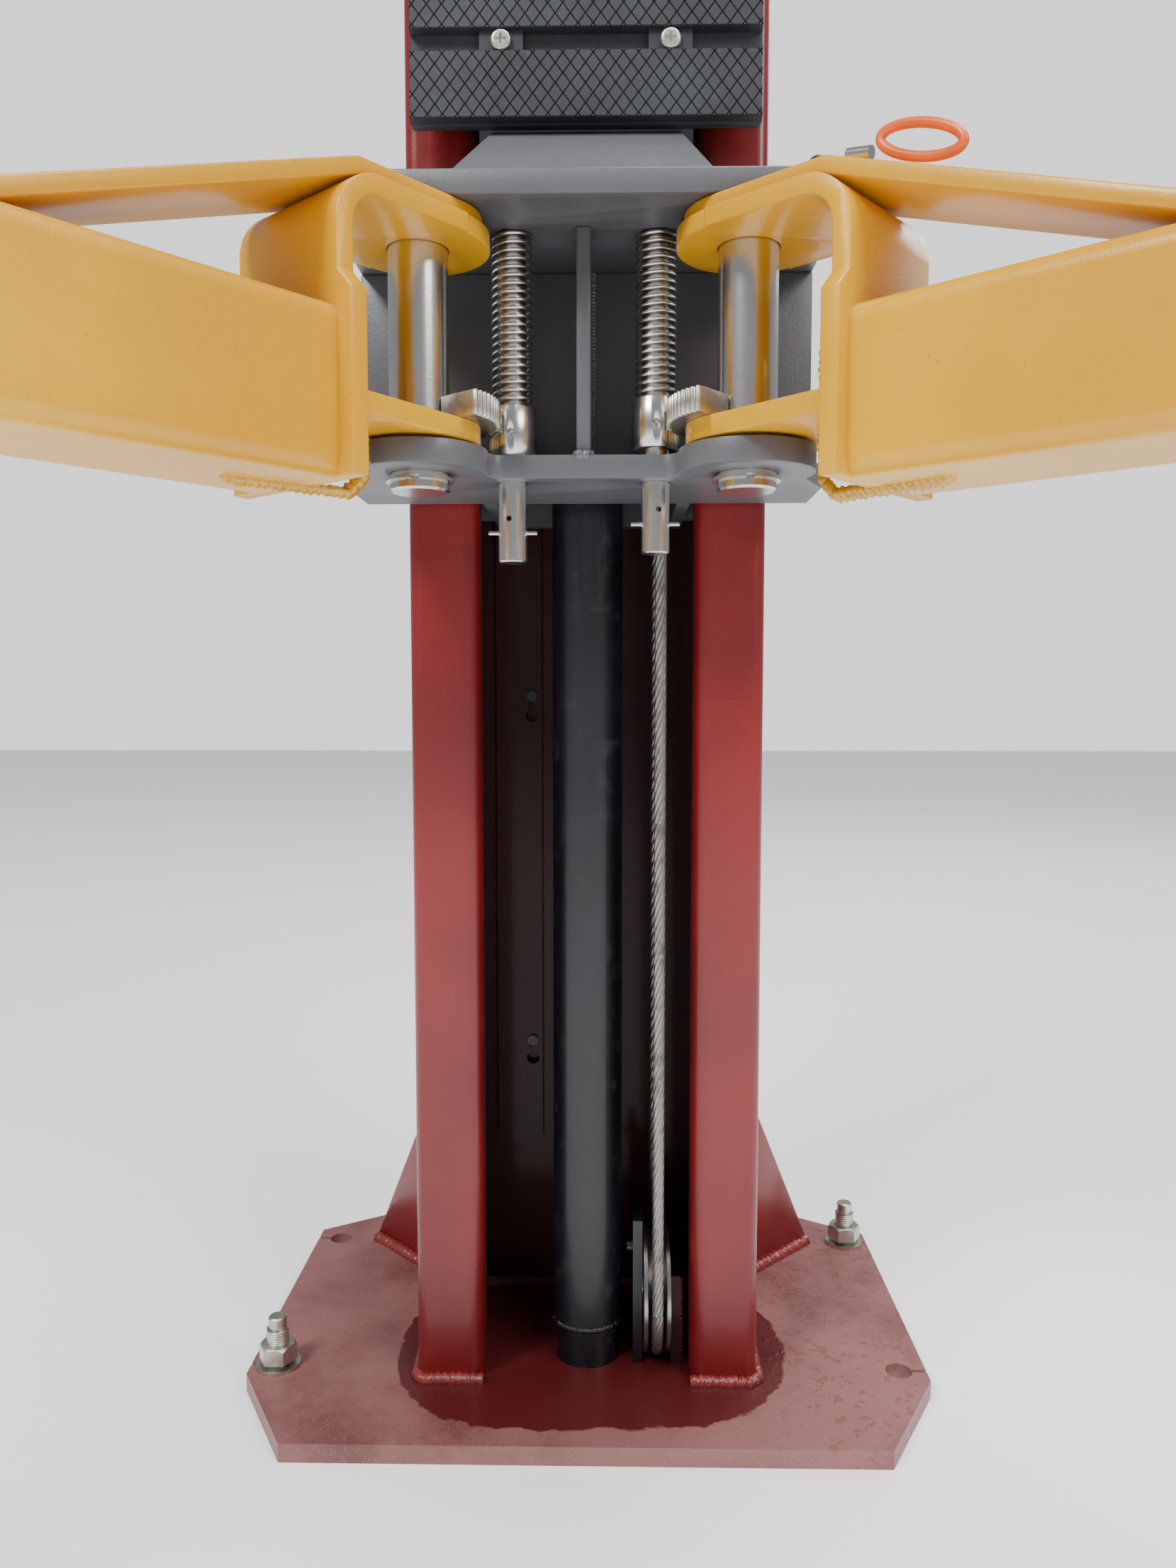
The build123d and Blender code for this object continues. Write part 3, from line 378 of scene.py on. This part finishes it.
def corner_low(node):
    return Vector(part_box(node)[0])


def corner_high(node):
    return Vector(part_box(node)[1])


floor_top = corner_high("base_plate").z
post_low, post_high = corner_low("column"), corner_high("column")
post_half, post_deep = post_high.x, post_high.y
lip = 85 * MM


def post_welds():
    bead = 5.6 * MM
    for side, word in ((-1, "left"), (1, "right")):
        z = floor_top + 1.2 * MM
        out = side * (post_half + 1 * MM)
        run = [(side * lip, -1 * MM, z), (out - side * 6 * MM, -1.5 * MM, z), (out, 5 * MM, z), (out, post_deep, z)]
        weld(word + "_foot_weld", run, bead, red_weld, "post", 3 + side)
        foot = Vector((side * post_half, post_deep, z))
        away = Vector((side, 1, 0)).normalized()
        across = Vector((-away.y, away.x, 0)) * 6.5 * MM
        for face in (-1, 1):
            toe = foot + across * face
            weld(f"{word}_gusset_weld_{face + 1}", [toe + away * 2 * MM, toe + away * 108 * MM],
                 bead * 1.15, red_weld, "post", 9 + face)
    low, high = corner_low("cylinder_barrel"), corner_high("cylinder_barrel")
    middle = Vector(((low.x + high.x) / 2, (low.y + high.y) / 2, floor_top + 34 * MM))
    barrel_radius, points = 29 * MM, 24
    angles = [math.tau * i / points for i in range(points)]
    ring = [middle + Vector((math.cos(a), math.sin(a), 0)) * barrel_radius for a in angles]
    weld("cylinder_foot_weld", ring, 2.2 * MM, finishes["black_paint"], "post", 4, closed=True)
    right = corner_high("sheave_bracket")
    weld("bracket_weld", [(right.x, right.y - 46 * MM, floor_top), (right.x, right.y - 42 * MM, 0.086)],
         3.4 * MM, red_weld, "post", 6)


def bracket_halves():
    """The sheave's two cheeks: a dark plate on the left, its black paint partly the plate's own dark steel and
    partly painted shade, and a block in the post's red.
    """
    middle = (corner_low("sheave_bracket").x + corner_high("sheave_bracket").x) / 2
    # the left plate's black paint is partly painted shade
    for word, keep, slot in (("plate", -1, "black_paint"), ("block", 1, "red_paint")):
        bm = bmesh.new()
        bm.from_mesh(frame["nodes"]["sheave_bracket"].data)
        other = [v for v in bm.verts if (v.co.x - middle) * keep < 0]
        bmesh.ops.delete(bm, geom=other, context="VERTS")
        half = piece("bracket_" + word, bm, finishes[slot], "post")
        if word == "plate":
            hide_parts("sheave_bracket")


def redressed(name, word, finish, body):
    """A CAD node's own shape in another finish."""
    bm = bmesh.new()
    bm.from_mesh(frame["nodes"][name].data)
    obj = piece(word, bm, finish, body)
    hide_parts(name)


post_welds()
bracket_halves()
redressed("hose_guard_studs", "guard_pins", finishes["black_paint"], "post")
redressed("rope_sheave", "worn_sheave", worn_steel, "rope_sheave")
for plate in ("base_gussets", "column_top_plate"):
    eased(plate, 0.6 * MM)


# Floor anchors: rings of thread on the studs


def thread(name, x, y, low, high, radius, pitch, body):
    """A rolled thread, spun as a screw."""
    bm = bmesh.new()
    turns = int((high - low) / pitch)
    depth = pitch * 0.55
    points = []
    for count in range(turns + 1):
        z = low + count * pitch
        points += [(radius - depth, z), (radius, z + pitch * 0.5)]
    verts = [bm.verts.new((x + r, y, z)) for r, z in points]
    edges = [bm.edges.new(pair) for pair in zip(verts, verts[1:])]
    bmesh.ops.spin(bm, geom=verts + edges, cent=(x, y, 0), axis=(0, 0, 1), dvec=(0, 0, pitch / 24),
                   angle=math.tau, steps=24, use_merge=False)
    bmesh.ops.remove_doubles(bm, verts=bm.verts, dist=1e-5)
    bmesh.ops.holes_fill(bm, edges=[e for e in bm.edges if e.is_boundary], sides=0)
    return piece(name, bm, finishes["zinc"], body, smooth=25)


nut_top = floor_top + 20 * MM
for word, x, y in (("left", -0.261, 0.020), ("right", 0.261, 0.252)):
    thread(word + "_anchor_thread", x, y, nut_top - 1 * MM, 46 * MM, 9.25 * MM, 2.0 * MM, "post")


# Steel rope


def rope(name, x, y, low, high, radius, body, bend=None):
    """Six strands round a core, laid up as a screw, with the lower end led round the sheave."""
    strand = radius * 0.40
    lay = radius * 13
    bm = bmesh.new()
    steps = int((high - low) / lay * 14)
    for count in range(7):
        share = math.tau * count / 7
        ring = bmesh.ops.create_circle(bm, segments=6, radius=strand)["verts"]
        edges = list({e for v in ring for e in v.link_edges})
        tilt = Matrix.Rotation(-math.atan(math.tau * (radius - strand) / lay), 4, "X")
        bmesh.ops.transform(bm, verts=ring, matrix=Matrix.Translation((radius - strand, 0, 0)) @ tilt)
        bmesh.ops.rotate(bm, verts=ring, cent=(0, 0, 0), matrix=Matrix.Rotation(share, 3, "Z"))
        bmesh.ops.spin(bm, geom=ring + edges, cent=(0, 0, 0), axis=(0, 0, 1),
                       dvec=(0, 0, (high - low) / steps), angle=math.tau * (high - low) / lay,
                       steps=steps, use_merge=False)
    core = bmesh.ops.create_cone(bm, cap_ends=True, segments=10, radius1=radius * 0.55, radius2=radius * 0.55,
                                 depth=high - low)["verts"]
    bmesh.ops.translate(bm, verts=core, vec=(0, 0, (high - low) / 2))
    bmesh.ops.translate(bm, verts=bm.verts, vec=(x, y, low))
    if bend:
        centre, ring_radius = bend
        for v in bm.verts:
            under = centre[2] - v.co.z
            if under > 0:
                angle = under / ring_radius
                arm = centre[1] - v.co.y
                v.co.y = centre[1] - arm * math.cos(angle)
                v.co.z = centre[2] - arm * math.sin(angle)
    return piece(name, bm, finishes["rope"], body, smooth=60)


sheave_low, sheave_high = corner_low("rope_sheave"), corner_high("rope_sheave")
sheave_middle = (sheave_low + sheave_high) / 2
front_low, front_high = corner_low("rope_front"), corner_high("rope_front")
rope_radius = (front_high.x - front_low.x) / 2
rope_ring = sheave_middle.y - (front_low.y + front_high.y) / 2
front_y, rear_y = sheave_middle.y - rope_ring, sheave_middle.y + rope_ring
front = rope("front_rope", sheave_middle.x, front_y, sheave_middle.z, front_high.z, rope_radius, None)
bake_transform(front)
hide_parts("rope_front")
wrap_length = math.pi * rope_ring
rope("sheave_rope", sheave_middle.x, front_y, sheave_middle.z - wrap_length, sheave_middle.z, rope_radius,
     "post", (sheave_middle, rope_ring))
rear_high = corner_high("rope_rear").z
rear = rope("rear_rope", sheave_middle.x, rear_y, sheave_middle.z, rear_high - 0.118, rope_radius, "post")
end = bmesh.new()
# the threaded end and the nut that it hangs from
for sides, size, depth, z in ((24, 8 * MM, 0.12, rear_high - 0.06), (6, 13.5 * MM, 0.013, 2.8065)):
    made = bmesh.ops.create_cone(end, cap_ends=True, segments=sides, radius1=size, radius2=size, depth=depth)
    bmesh.ops.translate(end, verts=made["verts"], vec=(sheave_middle.x, rear_y, z))
piece("rope_terminal", end, finishes["zinc"], "post")
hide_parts("rope_rear")


# Lifting chain: the rear run and the front one, between the rod and the carriage


def chain(name):
    """A run copied from its CAD node, in its own finish and with its placing baked in."""
    bm = bmesh.new()
    bm.from_mesh(frame["nodes"][name].data)
    run = piece(name + "_run", bm, finishes[slots[name]], None)
    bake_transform(run)
    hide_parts(name)


chain("chain_rear")
chain("chain_front")


# Springs


def spring(side):
    name = side + "_lock_spring"
    low, high = corner_low(name), corner_high(name)
    x, y = (low.x + high.x) / 2, (low.y + high.y) / 2
    wire_radius = 1.3 * MM
    radius = (high.x - low.x) / 2 - wire_radius
    turns = 21
    height = high.z - low.z - 2 * wire_radius
    bm = bmesh.new()
    ring = bmesh.ops.create_circle(bm, segments=8, radius=wire_radius)["verts"]
    edges = list(bm.edges)
    bmesh.ops.rotate(bm, verts=ring, cent=(0, 0, 0), matrix=Matrix.Rotation(math.pi / 2, 3, "X"))
    bmesh.ops.translate(bm, verts=ring, vec=(x + radius, y, low.z + wire_radius))
    steps = turns * 26
    bmesh.ops.spin(bm, geom=ring + edges, cent=(x, y, 0), axis=(0, 0, 1), dvec=(0, 0, height / steps),
                   angle=math.tau * turns, steps=steps, use_merge=False)
    bmesh.ops.holes_fill(bm, edges=[e for e in bm.edges if e.is_boundary], sides=0)
    coil = piece(side + "_coil", bm, finishes["steel"], None, smooth=180)
    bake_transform(coil)
    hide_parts(name)


spring("left")
spring("right")


# The door rubber: panels of small diamonds with plain grooves between


def door_rubber():
    low, high = corner_low("door_rubber"), corner_high("door_rubber")
    half, bottom, top = high.x, low.z, high.z
    back, front_y = high.y, low.y
    band, groove = 47.3 * MM, 15.6 * MM
    step = 10 * MM
    base = bmesh.new()
    made = bmesh.ops.create_cube(base, size=1.0)["verts"]
    bmesh.ops.scale(base, verts=made, vec=(2 * half, 10 * MM, top - bottom))
    bmesh.ops.translate(base, verts=made, vec=(0, back - 5 * MM, (bottom + top) / 2))
    bmesh.ops.bevel(base, geom=list(base.edges), offset=2 * MM, segments=3, profile=0.5, affect="EDGES",
                    material=-1)
    for x, z in screw_places(bottom, band, groove):
        boss = bmesh.ops.create_cube(base, size=1.0)["verts"]
        bmesh.ops.scale(base, verts=boss, vec=(32 * MM, 6 * MM, 15 * MM))
        bmesh.ops.translate(base, verts=boss, vec=(x, back - 13 * MM, z))
    sheet = piece("door_rubber_sheet", base, finishes["rubber"], "carriage")
    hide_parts("door_rubber")
    z = bottom + 1 * MM
    count = 0
    while z + band < top + 1e-6:
        bm = bmesh.new()
        wide, tall = 2 * half - 2 * MM, band
        cells = int(wide * 1.5 / step)
        bmesh.ops.create_grid(bm, x_segments=cells, y_segments=cells, size=cells * step * 0.5)
        bmesh.ops.rotate(bm, verts=bm.verts, cent=(0, 0, 0), matrix=Matrix.Rotation(math.radians(45), 3, "Z"))
        bmesh.ops.scale(bm, verts=bm.verts, vec=(0.78, 1, 1))
        sides = (((1, 0, 0), wide / 2), ((-1, 0, 0), wide / 2), ((0, 1, 0), tall / 2), ((0, -1, 0), tall / 2))
        for normal, reach in sides:
            bmesh.ops.bisect_plane(bm, geom=list(bm.verts) + list(bm.edges) + list(bm.faces), dist=1e-6,
                                   plane_co=Vector(normal) * reach, plane_no=normal, clear_outer=True)
        rim = [e for e in bm.edges if e.is_boundary]
        side = bmesh.ops.extrude_edge_only(bm, edges=rim)["geom"]
        side = [v for v in side if isinstance(v, bmesh.types.BMVert)]
        bmesh.ops.translate(bm, verts=side, vec=(0, 0, -(10 * MM - 1.5 * MM)))
        bmesh.ops.scale(bm, verts=side, vec=(1.004, 1.02, 1))
        cells_up = [f for f in bm.faces if f.normal.z > 0.5 or all(abs(v.co.z) < 1e-6 for v in f.verts)]
        bmesh.ops.inset_individual(bm, faces=cells_up, thickness=0.7 * MM, depth=0.0)
        tops = [f for f in cells_up if f.is_valid]
        for f in tops:
            for v in f.verts:
                v.co.z = 1.2 * MM
        bmesh.ops.rotate(bm, verts=bm.verts, cent=(0, 0, 0), matrix=Matrix.Rotation(math.radians(90), 3, "X"))
        bmesh.ops.translate(bm, verts=bm.verts, vec=(0, front_y + 1.2 * MM, z + band / 2))
        panel = piece(f"door_rubber_panel_{count}", bm, finishes["rubber"], "carriage", smooth=20)
        z += band + groove
        count += 1


def screw_places(bottom, band, groove):
    first = bottom + 1 * MM + band + groove / 2
    last = first + 6 * (band + groove)
    return [(x, z) for z in (first, last) for x in (-62 * MM, 62 * MM)]


door_rubber()


# Carriage and arms


for plate in ("head_plate", "foot_plate", "rib", "back_plate", "head_gusset"):
    eased("carriage_" + plate, 1.3 * MM)
for side in ("left", "right"):
    for plate in ("yoke", "lower_ear", "brace"):
        eased(f"{side}_{plate}", 1.4 * MM)
    eased(side + "_gear_segment", 0.25 * MM, 1)
    eased(side + "_lock_block", 0.3 * MM, 1)


def carriage_welds():
    rib_low, rib_high = corner_low("carriage_rib"), corner_high("carriage_rib")
    for side in (-1, 1):
        x = side * rib_high.x
        y, z = rib_high.y - 1 * MM, rib_low.z + 1 * MM
        weld(f"rib_back_weld_{side + 1}", [(x, y, rib_low.z), (x, y, rib_high.z)],
             2.6 * MM, grey_weld, "carriage", 20 + side)
        weld(f"rib_foot_weld_{side + 1}", [(x, rib_low.y, z), (x, rib_high.y, z)],
             2.6 * MM, grey_weld, "carriage", 24 + side)
    weld("rib_toe_weld", [(-5 * MM, rib_low.y - 1 * MM, rib_low.z), (5 * MM, rib_low.y - 1 * MM, rib_low.z)],
         4.4 * MM, grey_weld, "carriage", 31)
    g_low, g_high = corner_low("carriage_head_gusset"), corner_high("carriage_head_gusset")
    y, z = g_low.y + 0.5 * MM, g_low.z
    weld("head_gusset_weld", [(g_low.x + 2 * MM, y, z), (g_high.x - 2 * MM, y, z)],
         1.6 * MM, grey_weld, "carriage", 33)


carriage_welds()


def arm_welds(side, sign, heading):
    """Beads round the tube's end and under the lower ear, laid in the arm's own directions."""
    along = Vector((sign * math.cos(heading), math.sin(heading), 0))
    across = Vector((sign * math.sin(-heading), -math.cos(heading), 0)) * -1
    pin = Vector((sign * 0.110, -0.125, 0))
    low, high = corner_low(side + "_arm_tube").z, corner_high(side + "_arm_tube").z
    start, half = 104 * MM, 50 * MM
    up = Vector((0, 0, 1))

    def at(run, over, z):
        return pin + along * run + across * over + up * z

    run = start + 1 * MM
    ring = [at(run, -half, low + 10 * MM), at(run, -half, high - 10 * MM), at(run, -half + 10 * MM, high),
            at(run, half - 10 * MM, high), at(run, half, high - 10 * MM), at(run, half, low + 10 * MM),
            at(run, half - 10 * MM, low), at(run, -half + 10 * MM, low)]
    weld(side + "_tube_weld", ring, 5.0 * MM, yellow_weld, side + "_arm", 40 + sign, closed=True)
    ear = corner_high(side + "_lower_ear").z
    weld(side + "_ear_weld", [at(91 * MM, -46 * MM, ear), at(91 * MM, 46 * MM, ear)], 3.0 * MM, yellow_weld,
         side + "_arm", 44 + sign)


arm_welds("right", 1, math.radians(-41))
arm_welds("left", -1, math.radians(-50))


# The release cord, on the right lock: the route's points are those of the CAD tube


def release_cord():
    x, y = 50 * MM, -92 * MM
    top, over = 0.908, 0.9138
    end_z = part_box("pull_ferrule")[0][2] + 4 * MM
    route = [
        (x, y, top), (x, y, top + 2.5 * MM), (x + 8 * MM, y + 6 * MM, over + 0.8 * MM),
        (x + 36 * MM, y + 1 * MM, over), (x + 68 * MM, y + 2 * MM, over), (x + 97 * MM, y - 20 * MM, over),
        (x + 93 * MM, y - 76 * MM, over + 1.2 * MM), (x + 102 * MM, y - 100 * MM, end_z + 2 * MM),
        (x + 110 * MM, y - 107 * MM, end_z),
    ]
    curve = bpy.data.curves.new("release_cord", "CURVE")
    curve.dimensions = "3D"
    curve.bevel_depth = 1.5 * MM
    curve.bevel_resolution = 3
    curve.use_fill_caps = True
    line = curve.splines.new("NURBS")
    line.points.add(len(route) - 1)
    for point, spot in zip(line.points, route):
        point.co = (*spot, 1.0)
    line.order_u = 3
    line.use_endpoint_u = True
    line.resolution_u = 12
    curve.materials.append(finishes["rope"])
    obj = bpy.data.objects.new("release_cord", curve)
    bpy.context.scene.collection.objects.link(obj)
    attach(obj, "right_lock")
    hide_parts("pull_cord")
    length = sum((Vector(b) - Vector(a)).length for a, b in zip(route, route[1:])) * 0.96


release_cord()


# Stage


def studio():
    floor = bmesh.new()
    bmesh.ops.create_grid(floor, x_segments=1, y_segments=1, size=12)
    ground = piece("studio_floor", floor, plain_floor(), None)
    world = bpy.data.worlds.new("studio")
    bpy.context.scene.world = world
    world.use_nodes = True
    tree = world.node_tree
    plain, out = tree.nodes["Background"], tree.nodes["World Output"]
    plain.inputs["Color"].default_value = (0.93, 0.95, 1.0, 1)
    plain.inputs["Strength"].default_value = 0.36
    backdrop = tree.nodes.new("ShaderNodeBackground")
    backdrop.inputs["Color"].default_value = (1, 1, 1, 1)
    backdrop.inputs["Strength"].default_value = 1.35
    seen, choice = tree.nodes.new("ShaderNodeLightPath"), tree.nodes.new("ShaderNodeMixShader")
    tree.links.new(seen.outputs["Is Camera Ray"], choice.inputs[0])
    tree.links.new(plain.outputs[0], choice.inputs[1])
    tree.links.new(backdrop.outputs[0], choice.inputs[2])
    tree.links.new(choice.outputs[0], out.inputs[0])
    for name, place, aim, size, power in (
        ("key", (-2.2, -2.6, 4.0), (0, 0, 0.6), 1.4, 200),
        ("fill", (2.6, -2.4, 3.0), (0, 0, 0.6), 1.6, 70),
        ("top", (0.9, -0.9, 4.2), (0, 0, 0.3), 1.4, 100),
        ("behind", (2.4, 2.6, 3.2), (0, 0, 0.5), 2.0, 60),
    ):
        light = bpy.data.lights.new(name, "AREA")
        light.energy, light.size = power, size
        lamp = bpy.data.objects.new(name, light)
        lamp.location = place
        lamp.rotation_euler = (Vector(aim) - Vector(place)).to_track_quat("-Z", "Y").to_euler()
        bpy.context.scene.collection.objects.link(lamp)


def plain_floor():
    pale = Finish("studio floor")
    pale.shader.inputs["Emission Color"].default_value = rgb(1, 1, 1)
    pale.shader.inputs["Emission Strength"].default_value = 0.42
    return pale.surface(rgb(0.93, 0.93, 0.93), 0.7)


def camera():
    data = bpy.data.cameras.new("camera")
    data.lens = 26.83
    data.clip_start = 0.01
    obj = bpy.data.objects.new("camera", data)
    obj.location = (0.0182, -0.9248, 0.5767)
    obj.rotation_euler = (math.radians(90 - 4.19), 0, math.radians(1.06))
    bpy.context.scene.collection.objects.link(obj)
    bpy.context.scene.camera = obj


studio()
camera()
